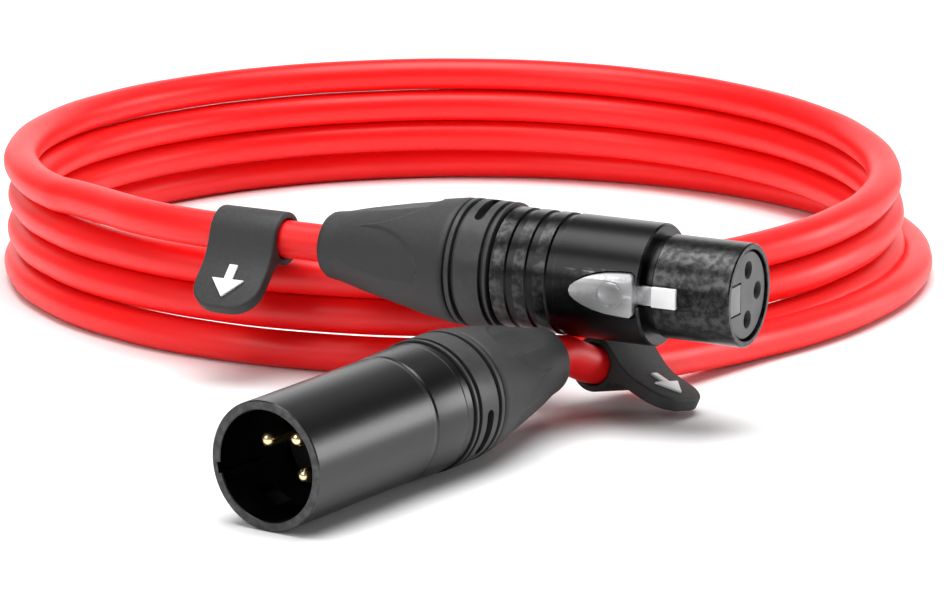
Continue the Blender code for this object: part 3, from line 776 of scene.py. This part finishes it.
class XLR_OT_male_shell(bpy.types.Operator):
    """Smooth shell of the male connector with its deep socket"""
    bl_idname = "xlr_coil.male_shell"
    bl_label = "Male shell"

    def execute(self, context):
        floor = MALE_LENGTH - MALE_CAVITY_DEPTH
        rings = [(32.7, 9.55), (32.85, 9.65), (32.95, 9.65), (34.0, 9.6), (34.1, 9.6),
                 (34.3, 9.7), (34.5, 9.76), (34.7, 9.76),
                 (41.1, 9.52), (41.3, 9.5), (41.55, 9.38), (41.7, 9.38), (42.2, 9.42),
                 (42.4, 9.45), (42.6, 9.45), (69.7, 9.45), (69.85, 9.45), (70.0, 9.3), (70.0, 8.2),
                 (69.85, 8.05), (floor - 2.4, 8.05), (floor - 2.4, 7.3), (40.5, 7.3), (40.5, 8.4),
                 (32.7, 8.4)]
        shell = turn("male_shell_body", rings, 160)
        keyway = block("keyway", (7.0, -0.8, floor), (8.55, 0.8, MALE_LENGTH + 1))
        turn_about_z(keyway, KEYWAY_ANGLE)
        cut(shell, keyway)
        for face in shell.data.polygons:
            face.material_index = int(face.center.z / MM < 34.2 and face.normal.z < 0.3)
        cut(shell, block("hook_window", (7.0, -2.0, MALE_LENGTH - 9.5), (8.9, 2.0, MALE_LENGTH - 5.5)))
        finish_piece(shell, MALE, shell_material("male shell satin black", MALE), "root",
                     ["male_shell"])
        shell.data.materials.append(nickel_material("polished ring", MALE, (0.30, 0.30, 0.30), 0.12))
        return {"FINISHED"}


class XLR_OT_male_insert(bpy.types.Operator):
    """Insert at the bottom of the male socket, with its three gold pins"""
    bl_idname = "xlr_coil.male_insert"
    bl_label = "Male insert and pins"

    def execute(self, context):
        floor = MALE_LENGTH - MALE_CAVITY_DEPTH
        insert = turn("male_insert_block", [(43.0, 6.7), (floor - 2.0, 6.7), (floor - 2.0, 7.7),
                                            (floor - 0.2, 7.7), (floor, 7.5)], 96, hollow=False)
        for number, centre in contact_centres(-1):
            cut(insert, rod("bore", 1.4, 42.0, floor + 1, centre, 40))
        finish_piece(insert, MALE, insert_material("insert black plastic", (0.012, 0.012, 0.012)), "root",
                     ["male_insert"])
        tip = MALE_LENGTH - PIN_TIP_DEPTH
        for number, centre in contact_centres(-1):
            angles = [radians(11.0 * i) for i in range(9)]
            rounded = [(tip - 1.2 + 1.2 * sin(a), 1.2 * cos(a)) for a in angles]
            pin = turn(f"male_pin_gold_{number}", [(45.5, 1.2)] + rounded, 40, hollow=False)
            pin.data.transform(Matrix.Translation((centre[0] * MM, centre[1] * MM, 0.0)))
            finish_piece(pin, MALE, gold_material(), "root", [f"male_pin_{number}"], 40.0)
        return {"FINISHED"}


# ---------------------------------------------------------------- tags

def tag_profile():
    """Side view of a tag: a loop round the cable that sweeps out into a flat tab."""
    start, face = radians(-62.0), TAG_TOP - TAG_THICKNESS
    first = Vector((TAG_LOOP * cos(start), TAG_LOOP * sin(start)))
    lift, level, flat = Vector((3.9, -2.8)), Vector((5.6, face)), Vector((8.2, face))
    sweep = []
    for i in range(9):
        t = i / 8
        sweep.append(tuple((1 - t) ** 3 * first + 3 * (1 - t) ** 2 * t * lift
                           + 3 * (1 - t) * t * t * level + t ** 3 * flat))
    tab = [(TAG_REACH, face), (TAG_REACH, TAG_TOP), (6.6, TAG_TOP), (5.0, TAG_TOP + 0.15),
           (4.3, TAG_TOP + 0.65)]
    loop = [(TAG_LOOP * cos(a), TAG_LOOP * sin(a)) for a in (radians(24.0 + 8.0 * i) for i in range(34))]
    return sweep + tab + loop


def make_tag(side, place):
    tag = slab(f"{side}_tag_rubber", tag_profile(), -TAG_HALF_WIDTH, TAG_HALF_WIDTH)
    pick(tag)
    bpy.ops.object.mode_set(mode="EDIT")
    bpy.ops.mesh.select_mode(type="EDGE")
    bpy.ops.mesh.select_all(action="DESELECT")
    bpy.ops.object.mode_set(mode="OBJECT")
    for edge in tag.data.edges:
        first, last = (tag.data.vertices[i].co / MM for i in edge.vertices)
        edge.select = min(first.x, last.x) > TAG_REACH - 0.1 and abs(first.z - last.z) < 0.1
    bpy.ops.object.mode_set(mode="EDIT")
    bpy.ops.mesh.bevel(offset=4.5 * MM, segments=10, affect="EDGES")
    bpy.ops.object.mode_set(mode="OBJECT")
    cut(tag, rod("bore", 3.2, -TAG_HALF_WIDTH - 1, TAG_HALF_WIDTH + 1, segments=64))
    bevel(tag, 0.42, 3, 40.0)
    finish_piece(tag, place, rubber_material("tag rubber", 0.66), f"{side}_tag", [f"{side}_tag"], 35.0)
    arrow = [(7.2, -0.75), (9.9, -0.75), (9.9, -2.9), (13.2, 0.0), (9.9, 2.9), (9.9, 0.75), (7.2, 0.75)]
    mark = slab(f"mark_{side}_tag", arrow, TAG_THICKNESS - TAG_TOP + 0.02, TAG_THICKNESS - TAG_TOP + 0.42)
    mark.data.transform(Matrix(((1, 0, 0, 0), (0, 0, -1, 0), (0, 1, 0, 0), (0, 0, 0, 1))))
    bevel(mark, 0.07)
    finish_piece(mark, place, mark_material(), f"{side}_tag", [f"{side}_tag_mark"])


class XLR_OT_tags(bpy.types.Operator):
    """Rubber tags on the cable, each with a raised white arrow"""
    bl_idname = "xlr_coil.tags"
    bl_label = "Tags"

    def execute(self, context):
        for side, place in tag_frames().items():
            make_tag(side, place)
        return {"FINISHED"}


# ---------------------------------------------------------------- hidden parts

class XLR_OT_inner_parts(bpy.types.Operator):
    """Finishes of the clamps, cores, pin, spring and ground clip"""
    bl_idname = "xlr_coil.inner_parts"
    bl_label = "Inner parts"

    def execute(self, context):
        nylon = surface("clamp natural nylon", (0.62, 0.60, 0.54), (0.54, 0.52, 0.46), 0.5,
                        (1500.0, 0.00002), 120.0)
        core = surface("core insulation", (0.30, 0.30, 0.32), (0.24, 0.24, 0.26), 0.5,
                       (2500.0, 0.00001), 150.0)
        metal = nickel_material("lever satin nickel", FEMALE)
        finishes = {"clamp": nylon, "conductor": core, "latch": metal}
        for subpart in frame["record"]["subparts"]:
            node = frame["nodes"][subpart["node"]]
            if not node.hide_render and subpart["material_slot"] in finishes:
                for material_slot in node.material_slots:
                    material_slot.material = finishes[subpart["material_slot"]]
        return {"FINISHED"}


# ---------------------------------------------------------------- stage

def area_light(name, place, aim, size, power, colour=(1.0, 1.0, 1.0)):
    clear_selection()
    bpy.ops.object.light_add(type="AREA", location=place)
    light = bpy.context.object
    light.name = name
    light.rotation_euler = (Vector(aim) - Vector(place)).to_track_quat("-Z", "Y").to_euler()
    light.data.shape = "RECTANGLE"
    light.data.size, light.data.size_y = size
    light.data.energy = power
    light.data.color = colour


class XLR_OT_stage(bpy.types.Operator):
    """Camera, pale floor and soft studio lights"""
    bl_idname = "xlr_coil.stage"
    bl_label = "Stage"

    def execute(self, context):
        scene = context.scene
        scene.view_settings.view_transform = "Standard"
        clear_selection()
        bpy.ops.object.camera_add(location=(0.0013, -0.700, 0.1701), rotation=(radians(76.7), 0.0, 0.0))
        camera = context.object
        camera.name = "camera"
        camera.data.sensor_width = 36.0
        camera.data.lens = 162.8
        camera.data.clip_start = 0.01
        scene.camera = camera
        clear_selection()
        bpy.ops.mesh.primitive_plane_add(size=6.0)
        floor = take("floor")
        paper = surface("floor white paper", (0.90, 0.90, 0.905), (0.89, 0.89, 0.89), 0.75,
                        (300.0, 0.00002), 8.0, specular=0.2)
        floor.data.materials.append(paper)
        world = bpy.data.worlds.new("studio")
        scene.world = world
        world.use_nodes = True
        tree = world.node_tree
        background = tree.nodes["Background"]
        ray = tree.nodes.new("ShaderNodeTexCoord").outputs["Generated"]
        split = tree.nodes.new("ShaderNodeSeparateXYZ")
        tree.links.new(ray, split.inputs[0])
        behind = map_range(tree, split.outputs["Y"], -0.2, 0.4, 0.12, 1.0)
        low = map_range(tree, split.outputs["Z"], 0.40, 0.58, 1.5, 0.1)
        narrow = map_range(tree, maths(tree, "ABSOLUTE", split.outputs["X"], 0.0), 0.35, 0.7, 1.0, 0.1)
        level = maths(tree, "MULTIPLY", maths(tree, "MULTIPLY", behind, low), narrow)
        tree.links.new(maths(tree, "ADD", level, 0.06), background.inputs["Strength"])
        background.inputs["Color"].default_value = (1.0, 1.0, 1.0, 1.0)
        area_light("overhead softbox", (0.0, -0.05, 0.85), (0.0, 0.0, 0.0), (0.9, 0.7), 13.0)
        area_light("right softbox", (0.82, 0.20, 0.16), (0.0, -0.08, 0.01), (0.34, 0.30), 2.6)
        area_light("left fill", (-0.7, -0.6, 0.5), (0.0, 0.0, 0.01), (0.5, 0.5), 3.0)
        return {"FINISHED"}


# ---------------------------------------------------------------- panel and run

OPERATORS = (XLR_OT_stage, XLR_OT_cable, XLR_OT_boots, XLR_OT_collars, XLR_OT_female_shell,
             XLR_OT_female_insert, XLR_OT_latch, XLR_OT_male_shell, XLR_OT_male_insert, XLR_OT_tags,
             XLR_OT_inner_parts, XLR_OT_declare_cable)


class XLR_PT_coil(bpy.types.Panel):
    """Lists the pieces and their settings"""
    bl_idname = "XLR_PT_coil"
    bl_label = "XLR Cable Coil"
    bl_space_type = "VIEW_3D"
    bl_region_type = "UI"
    bl_category = "XLR Coil"

    def draw(self, context):
        for name in CoilSettings.__annotations__:
            self.layout.prop(context.scene.xlr_coil, name)
        for operator in OPERATORS:
            self.layout.operator(operator.bl_idname)


CLASSES = (CoilSettings, *OPERATORS, XLR_PT_coil)


def register():
    for item in CLASSES:
        bpy.utils.register_class(item)
    bpy.types.Scene.xlr_coil = bpy.props.PointerProperty(type=CoilSettings)


def unregister():
    del bpy.types.Scene.xlr_coil
    for item in reversed(CLASSES):
        bpy.utils.unregister_class(item)


def main():
    register()
    for operator in OPERATORS:
        getattr(bpy.ops.xlr_coil, operator.bl_idname.split(".")[1])()


if __name__ == "__main__":
    main()
